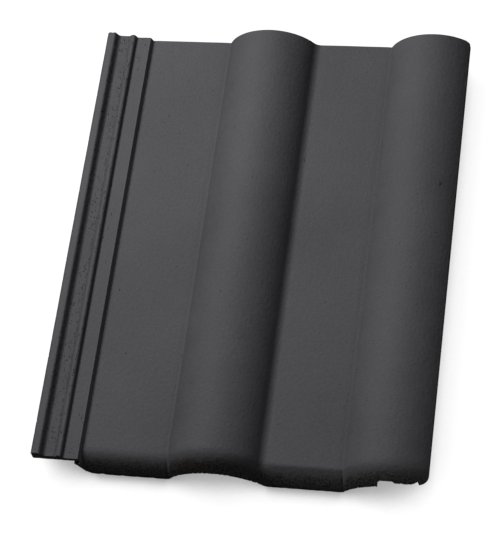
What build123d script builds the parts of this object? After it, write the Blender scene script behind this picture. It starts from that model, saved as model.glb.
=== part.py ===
from build123d import *
from math import sqrt
import os

# Interlocking roof tile with two hollow rolls, pressed from concrete in one piece.
# Millimetres. While it is drawn, X is measured from the left edge, Y from the nose
# towards the head, and Z from the top of the pans. At the end the tile is set down
# on its nose and nibs, with the origin under the middle of its outline.

# Laying sizes: the next tile starts one cover width along and is overlapped by the side lap
tile_length = 418.0
cover_width = 300.0
side_lap = 38.5
body_thickness = 12.5

# Rolls: the last crest stands this far past the edge of the next tile
roll_count = 2
last_crest_past = 6.5
roll_rise = 24.8
roll_chord = 80.6
foot_radius = 8.0
hollow_chord = 75.0
hollow_foot_radius = 4.0

# Side lock along the left edge, from the outside in: rib, channel, rib, band, step
outer_face_height = 10.1
outer_rib_height = 13.6
outer_rib_crown = 4.7
outer_rib_shoulder = 8.1
outer_rib_width = 11.0
channel_height = 7.4
channel_width = 9.6
inner_rib_height = 9.8
inner_rib_rise = 2.7
inner_rib_top = 2.9
inner_rib_fall = 1.5
band_height = 5.3
band_width = 12.8
step_run = 1.6
outer_shoulder_radius = 2.2
channel_radius = 3.0
crease_radius = 0.6
inner_shoulder_radius = 2.2
band_edge_radius = 0.6
lock_underside = 1.0
lock_edge_chamfer = 1.0

# Overlock under the last roll, which covers the next tile's side lock
lock_clearance = 1.2
lip_width = 7.5
lip_edge_radius = 1.5

# Nose: the tail is deeper than the body and its top edge is rounded over
nose_depth = 24.0
nose_land = 16.0
nose_ramp = 10.0
nose_round_run = 13.0
nose_round_drop = 10.5
nose_round_bulge = 1.6
nose_lap_clearance = 1.5
nose_left_tuck = 2.0
nose_left_lean = 8.3
nose_left_radius = 13.0
nose_foot_radius = 6.0
nose_right_gap = 3.9
nose_core_share = 0.5
lock_tail_setback = 2.5
overlock_tail_setback = 1.0
tail_corner_radius = 10.0

# Weather bars across the underside behind the nose
weather_bar_count = 2
weather_bar_start = 58.0
weather_bar_pitch = 26.0
weather_bar_width = 8.0
weather_bar_drop = 3.5

# Nibs that hang the tile on its batten
nib_root_width = 38.0
nib_root_depth = 21.0
nib_tip_width = 30.0
nib_tip_depth = 13.0
nib_face_setback = 40.0
nib_edge_radius = 2.0

# Depth by which one shape is let into another before they are joined
let_in = 1.0


# Places that follow from the sizes
tile_width = cover_width + side_lap
roll_pitch = cover_width / roll_count
last_crest = cover_width + last_crest_past
crests = [last_crest - i * roll_pitch for i in reversed(range(roll_count))]
roll_half = roll_chord / 2
hollow_half = hollow_chord / 2
nose_half = roll_half + nose_lap_clearance
channel_end = outer_rib_width + channel_width
inner_rib_start = channel_end + inner_rib_rise
inner_rib_end = inner_rib_start + inner_rib_top
band_start = inner_rib_end + inner_rib_fall
band_end = band_start + band_width
pan_start = band_end + step_run
nose_left = side_lap - nose_left_tuck
nose_right = cover_width - nose_right_gap


def arc_radius(half_chord):
    return (half_chord ** 2 + roll_rise ** 2) / (2 * roll_rise)


def arch(dx, half_chord):
    """Height of a roll's arc above its feet, at a distance from its crest."""
    radius = arc_radius(half_chord)
    return sqrt(radius ** 2 - dx ** 2) - radius + roll_rise


roll_radius = arc_radius(roll_half)


def foot(half_chord, radius):
    """Where a rounded foot leaves the roll, its middle, and where it meets the flat.

    Each is a distance from the crest and a height above the flat; the last item is the
    distance from the crest to the rounding's centre, which stands one radius up.
    """
    big = arc_radius(half_chord)
    drop = roll_rise - big
    centre = sqrt((big + radius) ** 2 - (radius - drop) ** 2)
    share = big / (big + radius)
    leaves = (centre * share, drop + (radius - drop) * share)
    chord = (centre - leaves[0], leaves[1])
    reach = sqrt(chord[0] ** 2 + chord[1] ** 2) / 2
    sag = radius - sqrt(radius ** 2 - reach ** 2)
    lean = sag / (2 * reach)
    middle = ((centre + leaves[0]) / 2 - chord[1] * lean, leaves[1] / 2 - chord[0] * lean)
    return leaves, middle, centre


def run_of_bows(left, right, half_chord, level, radius):
    """Pans and rolls in turn at one level, from the left end to the right end."""
    leaves, middle, centre = foot(half_chord, radius)
    pieces = []
    x = left
    for crest in crests:
        start = (crest - leaves[0], 0, level + leaves[1])
        pieces.append(Line((x, 0, level), (crest - centre, 0, level)))
        pieces.append(ThreePointArc(pieces[-1] @ 1, (crest - middle[0], 0, level + middle[1]), start))
        cut_off = right < crest + centre
        end_x = right if cut_off else crest + leaves[0]
        bow = [(at, 0, level + arch(at - crest, half_chord)) for at in ((start[0] + end_x) / 2, end_x)]
        pieces.append(ThreePointArc(start, *bow))
        x = end_x
        if not cut_off:
            x = crest + centre
            pieces.append(ThreePointArc(bow[-1], (crest + middle[0], 0, level + middle[1]), (x, 0, level)))
    if x < right:
        pieces.append(Line((x, 0, level), (right, 0, level)))
    return pieces


def end_of(pieces):
    return pieces[-1] @ 1


def section(outline_pieces):
    return Face(Wire([edge for piece in outline_pieces for edge in piece.edges()]))


def along(face, start, length):
    """Solid of one section, from a distance behind the nose towards the head."""
    return Pos(0, start, 0) * extrude(face, length, dir=(0, 1, 0))


# Top line of the side lock from the outer rib inwards, with the radius at each corner
lock_corners = [
    (outer_rib_shoulder, outer_rib_height, outer_shoulder_radius),
    (outer_rib_width, channel_height, channel_radius),
    (channel_end, channel_height, crease_radius),
    (inner_rib_start, inner_rib_height, crease_radius),
    (inner_rib_end, inner_rib_height, inner_shoulder_radius),
    (band_start, band_height, band_edge_radius),
    (band_end, band_height, band_edge_radius),
    (pan_start, 0, band_edge_radius),
]


def top_line():
    crown = (outer_rib_crown, 0, outer_rib_height)
    rib = TangentArc(crown, (0, 0, outer_face_height), tangent=(-1, 0, 0))
    places = [(x, 0, z) for x, z, radius in lock_corners]
    radii = [radius for x, z, radius in lock_corners]
    end = pan_start + step_run
    lock = FilletPolyline(crown, *places, (end, 0, 0), radius=radii)
    return [rib, lock] + run_of_bows(end, tile_width, roll_half, 0, foot_radius)


def overlock_line():
    """Underside of the last roll: the next tile's side lock, raised by the clearance."""
    lip_inner = tile_width - lip_width
    lip_level = band_height + lock_clearance
    over = [(x + cover_width, 0, z + lock_clearance) for x, z, radius in lock_corners[4:0:-1]]
    ceiling = outer_rib_height + lock_clearance
    wall = cover_width - lock_clearance
    wall_foot = arch(wall - last_crest, hollow_half) - body_thickness
    return Polyline(
        (tile_width, 0, lip_level),
        (lip_inner, 0, lip_level),
        (lip_inner - lock_clearance, 0, inner_rib_height + lock_clearance),
        *over,
        (cover_width + outer_rib_shoulder + lock_clearance, 0, ceiling),
        (wall, 0, ceiling),
        (wall, 0, wall_foot),
    )


def body_section():
    top = top_line()
    over = overlock_line()
    wall = (over @ 1).X
    belly = run_of_bows(pan_start, wall, hollow_half, -body_thickness, hollow_foot_radius)
    right_edge = Line(end_of(top), over @ 0)
    lock_bottom = Polyline(
        (pan_start, 0, -body_thickness),
        (band_end, 0, lock_underside),
        (lock_edge_chamfer, 0, lock_underside),
        (0, 0, lock_underside + lock_edge_chamfer),
        (0, 0, outer_face_height),
    )
    face = section(top + [right_edge, over] + belly + [lock_bottom])
    lip_edge = face.vertices().group_by(Axis.X)[-1].sort_by(Axis.Z)[-1]
    return face.fillet_2d(lip_edge_radius, [lip_edge])


def belly_section(depth, half_chord, left_radius, foot_round):
    """Section that thickens the underside down to a depth, let into the body above."""
    core_level = -body_thickness * nose_core_share
    core_half = (roll_half + hollow_half) / 2
    core = run_of_bows(pan_start, nose_right, core_half, core_level, foot_radius)
    wall_foot = nose_left + nose_left_lean * depth / nose_depth
    left_wall = FilletPolyline(
        (nose_left, 0, lock_underside + let_in),
        (wall_foot, 0, -depth),
        (wall_foot + left_radius, 0, -depth),
        radius=left_radius,
    )
    drop = run_of_bows(end_of([left_wall]).X, nose_right, half_chord, -depth, foot_round)
    closing = [Line(core[0] @ 0, left_wall @ 0), Line(end_of(drop), end_of(core))]
    return section([left_wall] + drop + core + closing)


def nose():
    low = belly_section(nose_depth, nose_half, nose_left_radius, nose_foot_radius)
    high = belly_section(body_thickness - let_in, hollow_half, body_thickness / 2, hollow_foot_radius)
    land = along(low, 0, nose_land)
    ramp = loft([Pos(0, nose_land, 0) * low, Pos(0, nose_land + nose_ramp, 0) * high], ruled=True)
    return land + ramp


def weather_bar(y):
    share = weather_bar_drop / (nose_depth - body_thickness)
    half_chord = hollow_half + share * (nose_half - hollow_half)
    depth = body_thickness + weather_bar_drop
    face = belly_section(depth, half_chord, body_thickness / 2, hollow_foot_radius)
    return along(face, y, weather_bar_width)


def nib(x):
    """Tapered lug with an upright face towards the nose, which bears on the batten."""
    face_y = tile_length - nib_face_setback
    root_z = let_in - body_thickness
    side = make_face(Polyline(
        (0, 0, root_z), (0, nib_root_depth, root_z), (0, nib_tip_depth, -nose_depth), (0, 0, -nose_depth),
        close=True,
    ))
    front = make_face(Polyline(
        (-nib_root_width / 2, 0, root_z), (nib_root_width / 2, 0, root_z),
        (nib_tip_width / 2, 0, -nose_depth), (-nib_tip_width / 2, 0, -nose_depth),
        close=True,
    ))
    across = extrude(side, nib_root_width / 2, dir=(1, 0, 0), both=True)
    lug = across & extrude(front, nib_root_depth, dir=(0, 1, 0))
    uprights = [edge for edge in lug.edges() if abs(edge.tangent_at(0.5).Z) > 0.5]
    return Pos(x, face_y, 0) * fillet(uprights, nib_edge_radius)


def rounded_side(level, floor, sign):
    """Side view between a floor and a rounded edge that drops, or with -1 climbs, to the front."""
    lean = nose_round_bulge / sqrt(nose_round_run ** 2 + nose_round_drop ** 2)
    front = (0, 0, level - sign * nose_round_drop)
    middle_drop = nose_round_drop / 2 - nose_round_run * lean
    middle = (0, nose_round_run / 2 - nose_round_drop * lean, level - sign * middle_drop)
    back = (0, nose_round_run, level)
    arc = ThreePointArc(front, middle, back)
    rest = Polyline(back, (0, nose_round_run, floor), (0, 0, floor), front)
    return section([arc, rest])


def rounded_disc(radius, sign):
    """The rounded edge carried round an axis: round a roll, or with -1 round a foot's hollow."""
    return revolve(rounded_side(radius, 0, sign), Axis((0, 0, 0), (0, 1, 0)))


def rounded_foot(side):
    """Between a pan and a roll: a wedge hollowed by the foot's own rounding, on one side."""
    centre = foot(roll_half, foot_radius)[2] * side
    wedge = make_face(Polyline(
        (centre, 0, foot_radius),
        (centre, 0, -nose_depth),
        (0, 0, roll_rise - roll_radius),
        close=True,
    ))
    hollow = Pos(centre, 0, foot_radius) * rounded_disc(foot_radius, -1)
    return extrude(wedge, nose_round_run, dir=(0, 1, 0)) - hollow


def nose_envelope():
    """Everything that the rounded nose leaves standing, up to where the rounding starts."""
    depth = nose_depth + let_in
    kept = Pos(nose_left, 0, 0) * extrude(rounded_side(0, -depth, 1), tile_width, dir=(1, 0, 0))
    roll = Pos(0, 0, roll_rise - roll_radius) * rounded_disc(roll_radius, 1)
    for crest in crests:
        kept += Pos(crest, 0, 0) * roll
        for side in (-1, 1):
            if crest + side * roll_half < tile_width:
                kept += Pos(crest, 0, 0) * rounded_foot(side)
    lock_block = Box(pan_start, nose_round_run - lock_tail_setback, 4 * nose_depth,
                     align=(Align.MIN, Align.MIN, Align.CENTER))
    cheek = Box(pan_start, nose_round_run, depth + lock_underside,
                align=(Align.MIN, Align.MIN, Align.MAX))
    return kept + Pos(0, lock_tail_setback, 0) * lock_block + Pos(0, 0, lock_underside) * cheek


def nose_waste():
    around = Box(3 * tile_width, nose_round_run + 1, 6 * nose_depth,
                 align=(Align.CENTER, Align.MAX, Align.CENTER))
    return Pos(tile_width / 2, nose_round_run, 0) * around - nose_envelope()


def tail_cut():
    """What the overlock leaves out at the tail: a step back, and a rounded outer corner."""
    height = 6 * nose_depth
    step = Box(tile_width, overlock_tail_setback, height, align=(Align.MIN, Align.MIN, Align.CENTER))
    reach = tail_corner_radius + let_in
    corner = Box(reach, reach, height, align=(Align.MIN, Align.MAX, Align.CENTER))
    corner -= Cylinder(tail_corner_radius, height)
    middle = (tile_width - tail_corner_radius, overlock_tail_setback + tail_corner_radius, 0)
    return Pos(nose_right, 0, 0) * step + Pos(*middle) * corner


def body():
    """The tile at one section from end to end, with its overlock cut back at the tail."""
    return along(body_section(), 0, tile_length) - tail_cut()


def tile():
    shape = body()
    shape += nose()
    for i in range(weather_bar_count):
        shape += weather_bar(weather_bar_start + i * weather_bar_pitch)
    for crest in crests:
        shape += nib(crest - roll_pitch / 2)
    return shape - nose_waste()


def set_down(shape):
    return Pos(-tile_width / 2, -tile_length / 2, nose_depth) * shape


roof_tile = set_down(tile())

os.makedirs("parts", exist_ok=True)
export_step(roof_tile, "parts/roof_tile.step")
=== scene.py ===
import bpy, bmesh
from math import radians, sqrt, sin, cos, hypot
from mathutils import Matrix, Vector, noise


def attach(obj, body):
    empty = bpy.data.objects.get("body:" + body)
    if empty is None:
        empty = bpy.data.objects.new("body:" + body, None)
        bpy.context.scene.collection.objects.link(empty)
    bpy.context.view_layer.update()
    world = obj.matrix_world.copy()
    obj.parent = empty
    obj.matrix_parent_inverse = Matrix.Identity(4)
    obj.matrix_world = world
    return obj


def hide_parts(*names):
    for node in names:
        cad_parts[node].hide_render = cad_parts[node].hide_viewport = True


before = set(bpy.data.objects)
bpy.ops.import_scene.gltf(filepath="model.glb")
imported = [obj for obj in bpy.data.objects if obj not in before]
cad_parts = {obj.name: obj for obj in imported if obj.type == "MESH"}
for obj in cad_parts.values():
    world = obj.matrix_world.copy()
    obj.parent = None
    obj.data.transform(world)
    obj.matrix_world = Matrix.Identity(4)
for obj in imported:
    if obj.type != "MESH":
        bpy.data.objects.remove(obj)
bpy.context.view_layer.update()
scene = bpy.context.scene
mm = 0.001


# Shape of the tile's upper side in the frame, in millimetres, as the solid has it

tileShape = {
    "noseEnd": -209.0,
    "headEnd": 209.0,
    "leftEdge": -169.25,
    "rightEdge": 169.25,
    "panTop": 24.0,
    "panStart": -127.2,
    "lockTail": -206.5,
    "crests": (-12.75, 137.25),
    "rollRise": 24.8,
    "rollHalf": 40.3,
    "footRadius": 8.0,
    "footWorn": 0.8,
    "roundRun": 13.0,
    "roundDrop": 10.5,
    "roundBulge": 1.6,
    "lipRound": 1.7,
    "stepRound": 0.4,
    "snapOver": 0.0001,
    "snapWithin": 0.16,
}

rollRadius = (tileShape["rollHalf"] ** 2 + tileShape["rollRise"] ** 2) / (2 * tileShape["rollRise"])
rollCentreUp = tileShape["rollRise"] - rollRadius


def footOut(foot):
    # how far out from a crest the centre of a foot's fillet is, and the pan begins
    return sqrt((rollRadius + foot) ** 2 - (foot - rollCentreUp) ** 2)


def nearestCrest(x):
    return min(tileShape["crests"], key=lambda crest: abs(x - crest))


def heightAcross(across, foot):
    # height of the upper side over the pan, across from a crest, with feet of a given radius
    out = footOut(foot)
    if across >= out:
        return 0.0
    joint = out * rollRadius / (rollRadius + foot)
    if across <= joint:
        return rollCentreUp + sqrt(rollRadius ** 2 - across ** 2)
    return foot - sqrt(foot ** 2 - (out - across) ** 2)


def arcThrough(run, drop, bulge):
    # centre and radius, in side view, of the nose's rounding: it starts at (run, 0) and ends at (0, -drop)
    chord = hypot(run, drop)
    radius = (chord ** 2 / 4 + bulge ** 2) / (2 * bulge)
    middle = Vector((run / 2, -drop / 2))
    inward = Vector((drop, -run)) / chord
    centre = middle + inward * (radius - bulge)
    return centre, radius


footCentreOut = footOut(tileShape["footRadius"])
roundCentre, roundRadius = arcThrough(tileShape["roundRun"], tileShape["roundDrop"], tileShape["roundBulge"])


def noseDrop(back):
    # how far the upper side has dropped, at a distance behind the nose's end
    if back >= tileShape["roundRun"]:
        return 0.0
    return -(roundCentre.y + sqrt(max(roundRadius ** 2 - (back - roundCentre.x) ** 2, 0)))


def upperSide(point):
    # gap from a point to the upper side, and the way out of it
    crest = nearestCrest(point.x)
    side = 1 if point.x > crest else -1
    across = abs(point.x - crest)
    up = point.z - tileShape["panTop"]
    drop = noseDrop(point.y - tileShape["noseEnd"])
    if across > footCentreOut:
        return -drop - up, Vector((0, 0, 1))
    fromRoll = Vector((across, 0, up - rollCentreUp))
    toFoot = Vector((footCentreOut, 0, tileShape["footRadius"] - rollCentreUp))
    if fromRoll.x * toFoot.z <= fromRoll.z * toFoot.x:
        outward = fromRoll.normalized()
        gap = rollRadius - drop - fromRoll.length
    else:
        fromFoot = Vector((across - footCentreOut, 0, up - tileShape["footRadius"]))
        outward = -fromFoot.normalized()
        gap = fromFoot.length - tileShape["footRadius"] - drop
    outward.x *= side
    return gap, outward


# Materials

concreteLook = {
    "colour": (0.0875, 0.0868, 0.0943),
    "pale": (0.0958, 0.0948, 0.1028),
    "deep": (0.0783, 0.0778, 0.0847),
    "sandColour": (0.1160, 0.1120, 0.1060),
    "sandDeep": (0.0100, 0.0096, 0.0094),
    "sandPale": (0.1350, 0.1320, 0.1330),
    # painted shade: the pits' insides are darkened to nearly black
    "pitShadeColour": (0.0070, 0.0067, 0.0066),
    "warmTint": (0.825, 0.79, 0.797),
    "rustTint": (1.10, 0.90, 0.72),
    # painted shade on the nose under the first pan and roll
    "noseShadeTint": (0.53, 0.53, 0.55),
    # painted light, lightening the shaded step and the band's edge
    "paintedLightTint": (1.7, 1.72, 1.75),
    # painted shade along the channel's crease
    "creaseShadeTint": (0.62, 0.60, 0.60),
    "skinStops": (0.3, 0.5, 0.7),
    "sandStops": (0.40, 0.53, 0.72),
    "cloudScale": 11.0,
    "blotchScale": 70.0,
    "blotchShare": 0.5,
    "speckleScale": 1100.0,
    "speckle": 0.5,
    "roughness": 0.72,
    "roughnessSpread": 0.12,
    "peelScale": 300.0,
    "peelDepth": 0.34,
    "grainScale": 1300.0,
    "grainDepth": 0.16,
    "sandScale": 620.0,
    "sandDepth": 0.55,
}


def makeConcrete(name, look):
    mat = bpy.data.materials.new(name)
    mat.use_nodes = True
    nodes, links = mat.node_tree.nodes, mat.node_tree.links
    nodes.clear()
    out = nodes.new("ShaderNodeOutputMaterial")
    shader = nodes.new("ShaderNodeBsdfPrincipled")
    links.new(shader.outputs["BSDF"], out.inputs["Surface"])
    coord = nodes.new("ShaderNodeTexCoord")

    def pattern(scale, detail, roughness=0.5):
        node = nodes.new("ShaderNodeTexNoise")
        node.inputs["Scale"].default_value = scale
        node.inputs["Detail"].default_value = detail
        node.inputs["Roughness"].default_value = roughness
        links.new(coord.outputs["Object"], node.inputs["Vector"])
        return node.outputs["Fac"]

    def share(name):
        node = nodes.new("ShaderNodeAttribute")
        node.attribute_name = name
        return node.outputs["Fac"]

    def maths(operation, first, second, third=None):
        node = nodes.new("ShaderNodeMath")
        node.operation = operation
        for socket, value in zip(node.inputs, (first, second, third)):
            if isinstance(value, (int, float)):
                socket.default_value = value
            elif value is not None:
                links.new(value, socket)
        return node.outputs[0]

    def ramp(value, stops):
        stops = list(stops)
        node = nodes.new("ShaderNodeValToRGB")
        parts = node.color_ramp.elements
        while len(parts) < len(stops):
            parts.new(1)
        for part, (at, colour) in zip(parts, stops):
            part.position = at
            part.color = (*colour, 1)
        links.new(value, node.inputs["Fac"])
        return node.outputs["Color"]

    def mixed(blend, factor, first, second):
        node = nodes.new("ShaderNodeMix")
        node.data_type = "RGBA"
        node.blend_type = blend
        for socket, value in ((node.inputs[0], factor), (node.inputs[6], first), (node.inputs[7], second)):
            if isinstance(value, (int, float)):
                socket.default_value = value
            elif isinstance(value, tuple):
                socket.default_value = (*value, 1)
            else:
                links.new(value, socket)
        return node.outputs[2]

    clouds = pattern(look["cloudScale"], 4)
    blotches = pattern(look["blotchScale"], 3)
    clouded = maths("MULTIPLY_ADD", maths("SUBTRACT", blotches, 0.5), look["blotchShare"], clouds)
    skin = ramp(clouded, zip(look["skinStops"], (look["deep"], look["colour"], look["pale"])))
    speckle = pattern(look["speckleScale"], 2, 0.6)
    grey = maths("MULTIPLY_ADD", maths("SUBTRACT", speckle, 0.5), look["speckle"], 0.5)
    greys = ramp(grey, [(0.0, (0, 0, 0)), (1.0, (1, 1, 1))])
    skin = mixed("OVERLAY", 1.0, skin, greys)     # fine salt and pepper
    skin = mixed("MULTIPLY", share("warmShare"), skin, look["warmTint"])
    # painted light on the shaded step and a painted highlight on the band's edge
    skin = mixed("MULTIPLY", share("paintedLightShare"), skin, look["paintedLightTint"])
    # painted shade along the channel's crease
    skin = mixed("MULTIPLY", share("creaseShadeShare"), skin, look["creaseShadeTint"])
    sandGrain = pattern(look["sandScale"], 4, 0.65)
    sand = ramp(sandGrain, zip(look["sandStops"], (look["sandDeep"], look["sandColour"], look["sandPale"])))
    sand = mixed("MULTIPLY", share("rustShare"), sand, look["rustTint"])
    # painted shade on the bare sand across the left of the tile, for the nose under the first pan and roll
    sand = mixed("MULTIPLY", share("noseShadeShare"), sand, look["noseShadeTint"])
    colour = mixed("MIX", share("sandShare"), skin, sand)
    # painted shade inside the pits
    colour = mixed("MIX", share("inPitShade"), colour, look["pitShadeColour"])
    links.new(colour, shader.inputs["Base Color"])

    peel = maths("MULTIPLY", pattern(look["peelScale"], 3), look["peelDepth"])
    grain = maths("MULTIPLY_ADD", pattern(look["grainScale"], 2, 0.6), look["grainDepth"], peel)
    sandDepth = maths("MULTIPLY", share("sandShare"), look["sandDepth"])
    height = maths("MULTIPLY_ADD", sandGrain, sandDepth, grain)
    bump = nodes.new("ShaderNodeBump")
    bump.inputs["Strength"].default_value = 1.0
    bump.inputs["Distance"].default_value = mm
    links.new(height, bump.inputs["Height"])
    links.new(bump.outputs["Normal"], shader.inputs["Normal"])
    spread = look["roughnessSpread"]
    roughness = maths("MULTIPLY_ADD", blotches, spread, look["roughness"] - spread / 2)
    links.new(roughness, shader.inputs["Roughness"])
    return mat


concrete = makeConcrete("darkConcrete", concreteLook)


# The tile, from the solid: cut into fine cells, put back on its true curves, then worn

def cadCopy(nodeName):
    source = bpy.data.objects[nodeName]
    bm = bmesh.new()
    bm.from_mesh(source.data)
    bmesh.ops.remove_doubles(bm, verts=bm.verts, dist=cells["mergeWithin"] * mm)
    bmesh.ops.dissolve_limit(bm, angle_limit=radians(cells["flatWithin"]), verts=bm.verts, edges=bm.edges)
    return bm


def toObject(bm, name, mat):
    mesh = bpy.data.meshes.new(name)
    bm.to_mesh(mesh)
    bm.free()
    mesh.materials.append(mat)
    obj = bpy.data.objects.new(name, mesh)
    scene.collection.objects.link(obj)
    return obj


def places(start, end, pitch):
    count = int((end - start) / pitch)
    return [start + pitch * i for i in range(count + 1)]


def cutInto(bm, axis, positions, where=None):
    # cuts along planes square to one axis, everywhere or only in the faces whose middle passes the test
    normal = Vector([float(i == axis) for i in range(3)])
    geom = bm.verts[:] + bm.edges[:] + bm.faces[:]
    if where:
        faces = [f for f in bm.faces if where(f.calc_center_median() / mm)]
        geom = list({e for f in faces for e in f.edges} | {v for f in faces for v in f.verts}) + faces
    for position in positions:
        geom = bmesh.ops.bisect_plane(bm, geom=geom, dist=cells["cutWithin"] * mm,
                                      plane_co=normal * position * mm, plane_no=normal)["geom"]


cells = {
    "noseDepth": 21.0,
    "noseAcross": 1.3,
    "noseAlong": 1.0,
    "noseUp": 1.5,
    "lockAcross": 1.0,
    "edgeAlong": 1.7,
    "footFrom": 38.5,
    "footTo": 48.0,
    "footAcross": 0.8,
    "across": 2.7,
    "along": 6.0,
    "headDepth": 4.0,
    "headAlong": 1.0,
    "noseTop": 47.0,
    "skinAbove": 12.0,
    "edgeDepth": 2.6,
    "clearOfEdge": 0.3,
    "clearOfEnd": 0.5,
    "mergeWithin": 0.001,
    "cutWithin": 0.002,
    "flatWithin": 0.4,
}


def makeTile():
    bm = cadCopy("roof_tile")
    start, end = tileShape["noseEnd"], tileShape["headEnd"]
    noseLine = start + cells["noseDepth"]
    headLine = end - cells["headDepth"]
    left, right, pan = tileShape["leftEdge"], tileShape["rightEdge"], tileShape["panStart"]
    lastAcross, clear = right - cells["clearOfEdge"], cells["clearOfEnd"]
    cutInto(bm, 1, [noseLine])
    cutInto(bm, 0, places(left + cells["noseAcross"], lastAcross, cells["across"]), lambda c: c.y < noseLine)
    cutInto(bm, 2, places(cells["noseUp"], cells["noseTop"], cells["noseUp"]), lambda c: c.y < noseLine)
    cutInto(bm, 1, places(start + cells["noseAlong"], noseLine - clear, cells["noseAlong"]))
    cutInto(bm, 1, places(noseLine + cells["along"], headLine, cells["along"]))
    cutInto(bm, 1, places(headLine + cells["headAlong"], end - clear, cells["headAlong"]))
    cutInto(bm, 0, places(left + cells["across"], lastAcross, cells["across"]))
    cutInto(bm, 0, places(left + cells["lockAcross"], pan, cells["lockAcross"]), lambda c: c.x < pan)
    edgeCells = places(noseLine, headLine, cells["edgeAlong"])
    cutInto(bm, 1, edgeCells, lambda c: c.x < left + cells["edgeDepth"])
    for crest in tileShape["crests"]:
        for side in (-1, 1):
            ends = sorted((crest + side * cells["footFrom"], crest + side * cells["footTo"]))
            if ends[1] < right:
                cutInto(bm, 0, places(ends[0], ends[1], cells["footAcross"]),
                        lambda c: ends[0] < c.x < ends[1] and c.z > cells["skinAbove"])
    print("cut tile", len(bm.verts), len(bm.faces), "volume", bm.calc_volume())
    return bm


def ontoCurves(bm):
    # the solid's mesh has flats where its curves are: the points near the true surface go onto it
    moved = 0
    first = tileShape["panStart"] + tileShape["stepRound"]
    last = tileShape["rightEdge"] - tileShape["lipRound"]
    for vert in bm.verts:
        point = vert.co / mm
        if not first <= point.x <= last:
            continue
        gap, outward = upperSide(point)
        if tileShape["snapOver"] < abs(gap) < tileShape["snapWithin"]:
            vert.co += outward * gap * mm
            moved += 1
    print("put on curves", moved)


wear = {
    "facesDown": -0.3,     # normals that point lower than this are the underside's
    "waveSize": 26.0,
    "waveDepth": 0.16,
    "dentSize": 9.0,
    "dentDepth": 0.05,
    "noseDrop": 12.5,
    "noseBulge": 1.2,
    "noseSlope": 0.5,
    "skinDepth": 6.0,     # what moves the upper side fades out over this depth
    "leastSlope": 0.4,
    "noseReach": 8.0,
    "noseBack": 0.5,
    "noseRagged": 0.9,
    "raggedSize": 3.2,
    "biteSize": 5.0,
    "raggedBelow": 14.0,
    "raggedFade": 10.0,
    "lipFrom": 11.0,
    "lipTo": 7.0,
    "lipBack": 1.3,
    "panFade": 4.0,
    "lockReach": 3.0,
    "lockFrom": 25.0,
    "lockTo": 31.0,
    "lockLeast": 0.15,
    "lockRagged": 1.6,
    "headReach": 1.5,
    "headRagged": 0.5,
    "edgeReach": 1.2,
    "edgeAbove": 3.0,
    "edgeBite": 0.7,
    "cornerRound": 3.0,
    "hollowWidth": 7.0,
    "hollowDepth": 0.42,
    "hollowEnd": 3.0,
    "softStart": ((-127.0, 5.0), (-60.0, 5.0), (-45.0, 5.5), (28.0, 5.0),
                  (42.0, 1.2), (96.0, 1.2), (112.0, 6.0), (170.0, 7.0)),
}

worn = arcThrough(tileShape["roundRun"], wear["noseDrop"], wear["noseBulge"])


def between(value, low, high):
    return min(1.0, max(0.0, (value - low) / (high - low)))


def softAt(x):
    # how far, each way, the start of the nose's rounding is softened
    pairs = wear["softStart"]
    for (xa, a), (xb, b) in zip(pairs, pairs[1:]):
        if x <= xb:
            return a + (b - a) * between(x, xa, xb)
    return pairs[-1][1]


def wornDrop(back, soft):
    # how far wear takes the nose's upper side below the moulded one
    run = tileShape["roundRun"]
    extra = 0.0
    if back < run:
        centre, radius = worn
        extra = -(centre.y + sqrt(max(radius ** 2 - (back - centre.x) ** 2, 0))) - noseDrop(back)
    ahead = run + soft - back
    if 0 < ahead < 2 * soft:
        extra += wear["noseSlope"] * (ahead ** 2 / (4 * soft) - max(0.0, ahead - soft))
    return extra


def sinkAt(x):
    # the left foot of each roll is sharper than the right one, and the pan sinks a little towards it
    across = nearestCrest(x) - x
    if across < 0:
        return 0.0
    sink = heightAcross(across, tileShape["footRadius"]) - heightAcross(across, tileShape["footWorn"])
    out = across - tileShape["rollHalf"]
    if out < 0:
        return sink + wear["hollowDepth"] * between(out, -wear["hollowEnd"], 0)
    return sink + wear["hollowDepth"] * max(0.0, 1 - out / wear["hollowWidth"]) ** 2


def ragged(point, size, seed=0.0):
    return 0.5 + 0.5 * noise.noise(Vector((point.x, point.y, point.z)) / size + Vector((seed, 3.1, 7.7)))


def bitten(point, size, seed=0.0, limit=0.62):
    # mostly nothing, with a bite here and there
    return max(0.0, ragged(point, size, seed) - limit) / (1 - limit)


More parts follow.
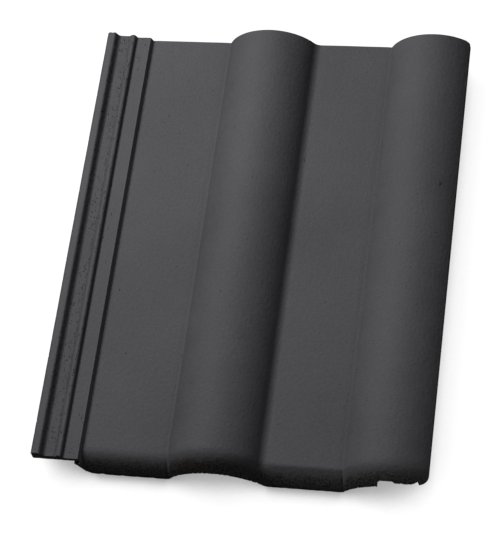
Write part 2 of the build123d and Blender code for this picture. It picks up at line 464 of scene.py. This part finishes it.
def wearDown(bm):
    # every shift goes into the solid, so the tile keeps its size
    bm.normal_update()
    start, end = tileShape["noseEnd"], tileShape["headEnd"]
    left, right, pan = tileShape["leftEdge"], tileShape["rightEdge"], tileShape["panStart"]
    skin, reach, corner = wear["skinDepth"], wear["noseReach"], wear["cornerRound"]
    lockLine = tileShape["lockTail"] + wear["lockReach"]
    shifts = []
    for vert in bm.verts:
        point, normal = vert.co / mm, vert.normal
        shift = Vector((0, 0, 0))
        if normal.z > wear["facesDown"]:
            depth = wear["waveDepth"] * ragged(point, wear["waveSize"])
            depth += wear["dentDepth"] * ragged(point, wear["dentSize"], 5.0)
            shift -= normal * depth
        back = point.y - start
        gap, outward = upperSide(point)
        below = gap / max(outward.z, wear["leastSlope"])
        hold = between(skin - below, 0, skin)
        if point.x > pan:
            shift.z -= sinkAt(point.x) * hold
        if point.x > pan and back < tileShape["roundRun"] + reach:
            hold *= between(point.x, pan, pan + wear["panFade"])
            shift.z -= wornDrop(back, softAt(point.x)) * hold
        if back < reach:
            near = between(reach - back, 0, reach)
            lip = between(point.x, right - wear["lipFrom"], right - wear["lipTo"])
            shift.y += near * wear["lipBack"] * lip
            low = between(wear["raggedBelow"] - point.z, 0, wear["raggedFade"])
            bite = 0.4 * ragged(point, wear["raggedSize"]) + bitten(point, wear["biteSize"], 2.0)
            shift.y += near * (wear["noseBack"] + wear["noseRagged"] * bite * low)
        if point.x < pan and point.y < lockLine:
            near = between(lockLine - point.y, 0, wear["lockReach"])
            least = wear["lockLeast"]
            near *= least + (1 - least) * between(point.z, wear["lockFrom"], wear["lockTo"])
            shift.y += near * wear["lockRagged"] * (0.6 * ragged(point, 2.4) + bitten(point, 4.0, 9.0, 0.5))
        if point.x < pan + 2 and point.y > end - wear["headReach"]:
            shift.y -= wear["headRagged"] * (0.5 * ragged(point, 2.0) + 2 * bitten(point, 3.0, 4.0))
        if point.x < left + wear["edgeReach"] and point.z > wear["edgeAbove"]:
            shift.x += wear["edgeBite"] * bitten(point, 2.6, 8.0, 0.6)
        fromCorner = Vector((point.x - right + corner, point.y - end + corner))
        if fromCorner.x > 0 and fromCorner.y > 0 and fromCorner.length > corner:
            inward = fromCorner.normalized() * corner - fromCorner
            shift.x += inward.x
            shift.y += inward.y
        shifts.append(shift)
    for vert, shift in zip(bm.verts, shifts):
        vert.co += shift * mm
    print("worn", len(shifts))


# Where the casting is open, where its colour varies, and where light and shade are painted: shares from 0 to
# 1 over the surface, from the tile's left edge

surfaceShares = {
    "channelPits": (12.5, 20.6, 0.27),     # from, to and how many, from the left edge
    "creasePits": (20.0, 21.4, 1.0),
    "outerRibPits": (7.6, 11.0, 0.5),
    "innerRibPits": (23.2, 26.4, 0.3),
    "bandPits": (27.7, 40.5, 0.03),
    "skinPits": 0.003,
    "upward": 0.2,
    "noseBack": -190.0,
    "nosePits": 0.9,
    "nosePitsTo": 12.0,
    "nosePitsFrom": 2.5,
    "nosePitsFade": 5.0,
    "nosePitsBack": -195.0,
    "noseOpenTo": 19.0,
    "noseOpenRagged": 5.0,
    "noseOpenFade": 4.0,
    "faceFrom": 0.4,     # how far a normal points towards the nose
    "faceTo": 0.8,
    "endFace": 0.5,
    "headFace": 0.7,
    "endDepth": 3.0,
    "gritBack": -180.0,
    "gritFrom": 2.5,
    "gritClear": (1.2, 1.0),
    "warmFrom": 12.0,
    "warmTo": 21.0,
    "warmFade": 3.0,
    "rustAt": (-32.0, 24.0),
    "rustFade": 0.6,
    # painted light on the step, then the painted highlight along the band's edge
    "stepLightAt": (40.3, 42.0),
    "edgeHighlightAt": 40.2,
    "edgeHighlightWidth": 0.55,
    "edgeHighlight": 0.22,
    # painted shade along the channel's crease: where it runs, and how it grows towards the nose
    "creaseShadeAt": 20.7,
    "creaseShadeFrom": -150.0,
    "creaseShadeTo": 200.0,
    # painted shade on the nose: full up to this x, fading out over the next
    "noseShadeTo": 35.0,
    "noseShadeFade": 20.0,
}


def overPan(point):
    return heightAcross(abs(point.x - nearestCrest(point.x)), tileShape["footRadius"])


def sandShare(point, normal):
    # bare sand on the underside, the ends and the lower nose
    if normal.z < wear["facesDown"]:
        return 1.0
    if normal.y > surfaceShares["headFace"] and point.y > tileShape["headEnd"] - surfaceShares["endDepth"]:
        return 1.0
    if point.x > tileShape["panStart"] - surfaceShares["endDepth"]:
        line = surfaceShares["noseOpenTo"] + overPan(point) + surfaceShares["noseOpenRagged"] * ragged(point, 6.0)
        low = between(line - point.z, 0, surfaceShares["noseOpenFade"])
        return low * between(-normal.y, surfaceShares["faceFrom"], surfaceShares["faceTo"])
    return float(normal.y < -surfaceShares["endFace"])


def pitShare(point, normal):
    onNose = point.y < surfaceShares["noseBack"] and point.x > tileShape["panStart"]
    if normal.z < surfaceShares["upward"] or onNose:
        return 0.0
    across = point.x - tileShape["leftEdge"]
    share = surfaceShares["skinPits"]
    for name in ("channelPits", "creasePits", "outerRibPits", "innerRibPits", "bandPits"):
        first, last, amount = surfaceShares[name]
        if first <= across <= last:
            share = max(share, amount * (0.4 + 1.2 * ragged(point, 22.0, 1.0)))
    return share


def nosePitShare(point, normal):
    # the open foot of the nose: larger holes, most of them near its lower edge
    onFace = normal.y <= -surfaceShares["endFace"] and point.y <= surfaceShares["nosePitsBack"]
    if not onFace or point.z < surfaceShares["nosePitsFrom"] or point.x < tileShape["panStart"] + 4:
        return 0.0
    low = between(surfaceShares["nosePitsTo"] + overPan(point) - point.z, 0, surfaceShares["nosePitsFade"])
    some = 0.25 + 0.5 * noseShadeShare(point, normal) + 0.6 * ragged(point, 15.0, 2.5)
    return surfaceShares["nosePits"] * low * some


def gritShare(point, normal):
    fromLeft, fromRight = surfaceShares["gritClear"]
    inside = tileShape["leftEdge"] + fromLeft < point.x < tileShape["rightEdge"] - fromRight
    onNose = surfaceShares["gritFrom"] < point.z and point.y < surfaceShares["gritBack"] and normal.z > -0.2
    return sandShare(point, normal) * (inside and onNose)


def warmShare(point, normal):
    # the channel's bottom
    across, fade = point.x - tileShape["leftEdge"], surfaceShares["warmFade"]
    inside = between(across, surfaceShares["warmFrom"] - fade, surfaceShares["warmFrom"])
    inside *= between(surfaceShares["warmTo"] + fade - across, 0, fade)
    return inside * (0.4 + 0.6 * ragged(point, 14.0, 6.0))


def paintedLightShare(point, normal):
    # painted light: the step down to the first pan is lightened where it lies in shade, and a painted
    # highlight runs along the band's edge above it
    first, last = surfaceShares["stepLightAt"]
    across = point.x - tileShape["leftEdge"]
    if first < across < last and normal.x > 0.5:
        return 1.0
    return surfaceShares["edgeHighlight"] * (abs(across - surfaceShares["edgeHighlightAt"]) < surfaceShares["edgeHighlightWidth"])


def creaseShadeShare(point, normal):
    # painted shade along the channel's crease, more of it towards the nose
    line = between(1.0 - abs(point.x - tileShape["leftEdge"] - surfaceShares["creaseShadeAt"]), 0, 1)
    ahead = between(-point.y, surfaceShares["creaseShadeFrom"], surfaceShares["creaseShadeTo"])
    return line * (0.25 + 0.6 * ahead) * (0.5 + 0.8 * ragged(point, 7.0, 12.0))


def rustShare(point, normal):
    # a brown patch on the nose, under the first roll
    middle, width = surfaceShares["rustAt"]
    return between(width - abs(point.x - middle), 0, width * surfaceShares["rustFade"])


def noseShadeShare(point, normal):
    # painted shade: the nose is darker under the first pan and roll
    return between(surfaceShares["noseShadeTo"] + surfaceShares["noseShadeFade"] - point.x, 0, surfaceShares["noseShadeFade"])


def setShares(mesh, *functions):
    spots = [(vert.co / mm, vert.normal.copy()) for vert in mesh.vertices]
    for function in functions:
        attribute = mesh.attributes.new(function.__name__, "FLOAT", "POINT")
        attribute.data.foreach_set("value", [float(function(point, normal)) for point, normal in spots])


def newTree(name, inputs):
    tree = bpy.data.node_groups.new(name, "GeometryNodeTree")
    tree.interface.new_socket("Geometry", in_out="INPUT", socket_type="NodeSocketGeometry")
    ids = {}
    for label, kind in inputs:
        ids[label] = tree.interface.new_socket(label, in_out="INPUT", socket_type=kind).identifier
    tree.interface.new_socket("Geometry", in_out="OUTPUT", socket_type="NodeSocketGeometry")
    return tree, ids


pits = {
    "spacing": 1.5,
    "perSquareMetre": 260000.0,
    "smallest": 0.28,
    "largest": 0.64,
    # how strongly the pits' insides take the painted shade
    "darkness": 0.78,
    "seed": 11,
}

nosePits = {
    "spacing": 1.9,
    "perSquareMetre": 300000.0,
    "smallest": 0.5,
    "largest": 1.3,
    # how strongly the pits' insides take the painted shade
    "darkness": 1.0,
    "seed": 3,
}

grit = {
    "spacing": 0.9,
    "perSquareMetre": 900000.0,
    "smallest": 0.2,
    "largest": 0.5,
    "seed": 5,
}

scatterInputs = [
    ("Spacing", "NodeSocketFloat"),
    ("Per Square Metre", "NodeSocketFloat"),
    ("Smallest", "NodeSocketFloat"),
    ("Largest", "NodeSocketFloat"),
    ("Seed", "NodeSocketInt"),
    ("Material", "NodeSocketMaterial"),
]
carveInputs = scatterInputs + [("Darkness", "NodeSocketFloat")]
wholeTurn = 6.28


def scatterTree(name, shareName, carve):
    # small rough stones spread by a share on the surface: cut out of it as pits, or kept as grains
    tree, ids = newTree(name, carveInputs if carve else scatterInputs)
    nodes, links = tree.nodes, tree.links
    start = nodes.new("NodeGroupInput")
    end = nodes.new("NodeGroupOutput")

    def named(label):
        node = nodes.new("GeometryNodeInputNamedAttribute")
        node.data_type = "FLOAT"
        node.inputs["Name"].default_value = label
        return node.outputs["Attribute"]

    spread = nodes.new("GeometryNodeDistributePointsOnFaces")
    spread.distribute_method = "POISSON"
    links.new(start.outputs["Geometry"], spread.inputs["Mesh"])
    links.new(start.outputs["Spacing"], spread.inputs["Distance Min"])
    links.new(start.outputs["Per Square Metre"], spread.inputs["Density Max"])
    links.new(named(shareName), spread.inputs["Density Factor"])
    links.new(start.outputs["Seed"], spread.inputs["Seed"])
    stone = nodes.new("GeometryNodeMeshIcoSphere")
    stone.inputs["Radius"].default_value = 1.0
    stone.inputs["Subdivisions"].default_value = 1
    size = nodes.new("FunctionNodeRandomValue")
    size.data_type = "FLOAT_VECTOR"
    links.new(start.outputs["Smallest"], size.inputs[0])
    links.new(start.outputs["Largest"], size.inputs[1])
    links.new(start.outputs["Seed"], size.inputs["Seed"])
    turn = nodes.new("FunctionNodeRandomValue")
    turn.data_type = "FLOAT_VECTOR"
    turn.inputs[1].default_value = (wholeTurn, wholeTurn, wholeTurn)
    place = nodes.new("GeometryNodeInstanceOnPoints")
    links.new(spread.outputs["Points"], place.inputs["Points"])
    links.new(stone.outputs["Mesh"], place.inputs["Instance"])
    links.new(turn.outputs[0], place.inputs["Rotation"])
    links.new(size.outputs[0], place.inputs["Scale"])
    solid = nodes.new("GeometryNodeRealizeInstances")
    links.new(place.outputs["Instances"], solid.inputs["Geometry"])
    shape = solid.outputs["Geometry"]
    if carve:
        # marks the pits' faces for the painted shade inside them
        mark = nodes.new("GeometryNodeStoreNamedAttribute")
        mark.data_type = "FLOAT"
        mark.domain = "FACE"
        mark.inputs["Name"].default_value = "inPitShade"
        links.new(start.outputs["Darkness"], mark.inputs["Value"])
        links.new(shape, mark.inputs["Geometry"])
        shape = mark.outputs["Geometry"]
        cut = nodes.new("GeometryNodeMeshBoolean")
        cut.operation = "DIFFERENCE"
        cut.solver = "MANIFOLD"
        links.new(start.outputs["Geometry"], cut.inputs["Mesh 1"])
        links.new(shape, cut.inputs["Mesh 2"])
        shape = cut.outputs["Mesh"]
    finish = nodes.new("GeometryNodeSetMaterial")
    links.new(shape, finish.inputs["Geometry"])
    links.new(start.outputs["Material"], finish.inputs["Material"])
    links.new(finish.outputs["Geometry"], end.inputs["Geometry"])
    return tree, ids


def runTree(obj, tree, ids, values):
    # the evaluated result as a plain mesh, with no modifier left
    modifier = obj.modifiers.new(tree.name, "NODES")
    modifier.node_group = tree
    for label, value in values.items():
        modifier[ids[label]] = value
    view = bpy.context.evaluated_depsgraph_get()
    evaluated = obj.evaluated_get(view)
    mesh = bpy.data.meshes.new_from_object(evaluated, preserve_all_data_layers=True, depsgraph=view)
    obj.modifiers.remove(modifier)
    return mesh


def scatterValues(look, mat):
    values = {
        "Spacing": look["spacing"] * mm,
        "Per Square Metre": look["perSquareMetre"],
        "Smallest": look["smallest"] * mm,
        "Largest": look["largest"] * mm,
        "Seed": look["seed"],
        "Material": mat,
    }
    if "darkness" in look:
        values["Darkness"] = look["darkness"]
    return values


def smoothBut(mesh, angle):
    for polygon in mesh.polygons:
        polygon.use_smooth = True
    mesh.set_sharp_from_angle(angle=radians(angle))


edgeAngle = 24.0
tileMesh = makeTile()
ontoCurves(tileMesh)
wearDown(tileMesh)
print("worn volume", tileMesh.calc_volume())
tile = toObject(tileMesh, "tile_body", concrete)
setShares(tile.data, pitShare, nosePitShare)
for shareName, look in (("pitShare", pits), ("nosePitShare", nosePits)):
    tile.data = runTree(tile, *scatterTree("Pits", shareName, True), scatterValues(look, concrete))
    print("pitted", shareName, len(tile.data.polygons))
for name in ("pitShare", "nosePitShare"):
    tile.data.attributes.remove(tile.data.attributes[name])
# among these shares are the painted light on the step and band edge, and the painted shade on the nose and
# along the channel's crease
setShares(tile.data, sandShare, warmShare, rustShare, noseShadeShare, paintedLightShare, creaseShadeShare, gritShare)
smoothBut(tile.data, edgeAngle)
grains = runTree(tile, *scatterTree("Grit", "gritShare", False), scatterValues(grit, concrete))
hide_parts("roof_tile")
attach(tile, "root")

noseGrit = bpy.data.objects.new("nose_grit", grains)     # loose sand that stands out of the open foot
scene.collection.objects.link(noseGrit)
# the grit takes the nose's painted shade too
setShares(grains, rustShare, noseShadeShare)
allSand = grains.attributes.new("sandShare", "FLOAT", "POINT")
allSand.data.foreach_set("value", [1.0] * len(grains.vertices))
print("grit", len(grains.polygons))
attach(noseGrit, "root")


# Floor, light and camera

studio = {
    "cameraAt": (0.33425, -0.6815, 1.5154),
    "cameraTurn": (24.893, 9.481, 7.570),
    "lens": 127.8,
    "sensor": 36.0,
    "seesTo": 20.0,
    "floorHalf": 4.0,
    "floorWhite": 0.1,
    "floorShade": 0.38,
    "floorShut": 0.47,
    "floorOpen": 0.78,
    "floorShadeLean": 15.0,
    "floorShadeReach": 0.055,
    "floorBounce": 0.12,
    "floorInGloss": 0.08,
    "worldLight": 0.045,
    "keyAt": (-0.650, 0.585, 1.119),
    "keySize": 0.65,
    "keyPower": 15.0,
    "fillAt": (0.60, -0.45, 0.25),
    "fillSize": 0.3,
    "fillPower": 0.16,
}


def makeFloor():
    mat = bpy.data.materials.new("paleFloor")
    mat.use_nodes = True
    nodes, links = mat.node_tree.nodes, mat.node_tree.links
    nodes.clear()
    out = nodes.new("ShaderNodeOutputMaterial")
    white = nodes.new("ShaderNodeBsdfDiffuse")
    white.inputs["Color"].default_value = (studio["floorWhite"],) * 3 + (1,)
    sky = nodes.new("ShaderNodeAmbientOcclusion")     # how much of the sky a point of the floor sees
    sky.inputs["Distance"].default_value = studio["floorShadeReach"]
    lean = radians(studio["floorShadeLean"])
    towards = nodes.new("ShaderNodeCombineXYZ")     # leans to the light, so the shade falls away from it
    towards.inputs["X"].default_value = -sin(lean) * sqrt(0.5)
    towards.inputs["Y"].default_value = sin(lean) * sqrt(0.5)
    towards.inputs["Z"].default_value = cos(lean)
    links.new(towards.outputs["Vector"], sky.inputs["Normal"])
    shade = nodes.new("ShaderNodeMapRange")     # darkest close under the tile's edges, white further out
    shade.inputs["From Min"].default_value = studio["floorShut"]
    shade.inputs["From Max"].default_value = studio["floorOpen"]
    shade.inputs["To Min"].default_value = studio["floorShade"]
    shade.inputs["To Max"].default_value = 1
    links.new(sky.outputs["AO"], shade.inputs["Value"])
    lift = nodes.new("ShaderNodeEmission")
    links.new(shade.outputs["Result"], lift.inputs["Strength"])
    seen = nodes.new("ShaderNodeAddShader")
    links.new(white.outputs[0], seen.inputs[0])
    links.new(lift.outputs[0], seen.inputs[1])
    grey = nodes.new("ShaderNodeBsdfDiffuse")
    grey.inputs["Color"].default_value = (studio["floorBounce"],) * 3 + (1,)
    path = nodes.new("ShaderNodeLightPath")
    gloss = nodes.new("ShaderNodeMath")     # a matt tile takes little of the white floor into its nose
    gloss.operation = "MULTIPLY"
    gloss.inputs[1].default_value = studio["floorInGloss"]
    links.new(path.outputs["Is Glossy Ray"], gloss.inputs[0])
    rays = path.outputs["Is Camera Ray"]
    for also in (gloss.outputs[0], path.outputs["Is Transmission Ray"]):
        either = nodes.new("ShaderNodeMath")
        either.operation = "MAXIMUM"
        links.new(rays, either.inputs[0])
        links.new(also, either.inputs[1])
        rays = either.outputs[0]
    pick = nodes.new("ShaderNodeMixShader")
    links.new(rays, pick.inputs["Fac"])
    links.new(grey.outputs[0], pick.inputs[1])
    links.new(seen.outputs[0], pick.inputs[2])
    links.new(pick.outputs[0], out.inputs["Surface"])
    bm = bmesh.new()
    bmesh.ops.create_grid(bm, x_segments=1, y_segments=1, size=studio["floorHalf"])
    mesh = bpy.data.meshes.new("floor")
    bm.to_mesh(mesh)
    bm.free()
    mesh.materials.append(mat)
    floor = bpy.data.objects.new("floor", mesh)
    scene.collection.objects.link(floor)


def makeWorld():
    # dim for what it lights, white to the camera past the floor's edge
    world = bpy.data.worlds.new("studio")
    scene.world = world
    world.use_nodes = True
    nodes, links = world.node_tree.nodes, world.node_tree.links
    dim = nodes["Background"]
    dim.inputs["Color"].default_value = (1, 1, 1, 1)
    dim.inputs["Strength"].default_value = studio["worldLight"]
    bright = nodes.new("ShaderNodeBackground")
    bright.inputs["Color"].default_value = (1, 1, 1, 1)
    path = nodes.new("ShaderNodeLightPath")
    pick = nodes.new("ShaderNodeMixShader")
    links.new(path.outputs["Is Camera Ray"], pick.inputs["Fac"])
    links.new(dim.outputs[0], pick.inputs[1])
    links.new(bright.outputs[0], pick.inputs[2])
    links.new(pick.outputs[0], nodes["World Output"].inputs["Surface"])


def softbox(name, at, size, power):
    light = bpy.data.lights.new(name, "AREA")
    light.shape = "DISK"
    light.size = size
    light.energy = power
    obj = bpy.data.objects.new(name, light)
    obj.location = at
    obj.rotation_euler = (Vector(at) * -1).to_track_quat("-Z", "Y").to_euler()
    scene.collection.objects.link(obj)


makeFloor()
makeWorld()
softbox("keyLight", studio["keyAt"], studio["keySize"], studio["keyPower"])
softbox("fillLight", studio["fillAt"], studio["fillSize"], studio["fillPower"])     # on the shaded flanks
print("floor and lights made")

camera = bpy.data.cameras.new("photoView")
camera.sensor_fit = "VERTICAL"
camera.sensor_height = studio["sensor"]
camera.lens = studio["lens"]
camera.clip_end = studio["seesTo"]
eye = bpy.data.objects.new("photoView", camera)
eye.location = studio["cameraAt"]
eye.rotation_euler = [radians(a) for a in studio["cameraTurn"]]
scene.collection.objects.link(eye)
scene.camera = eye
scene.view_settings.view_transform = "Standard"
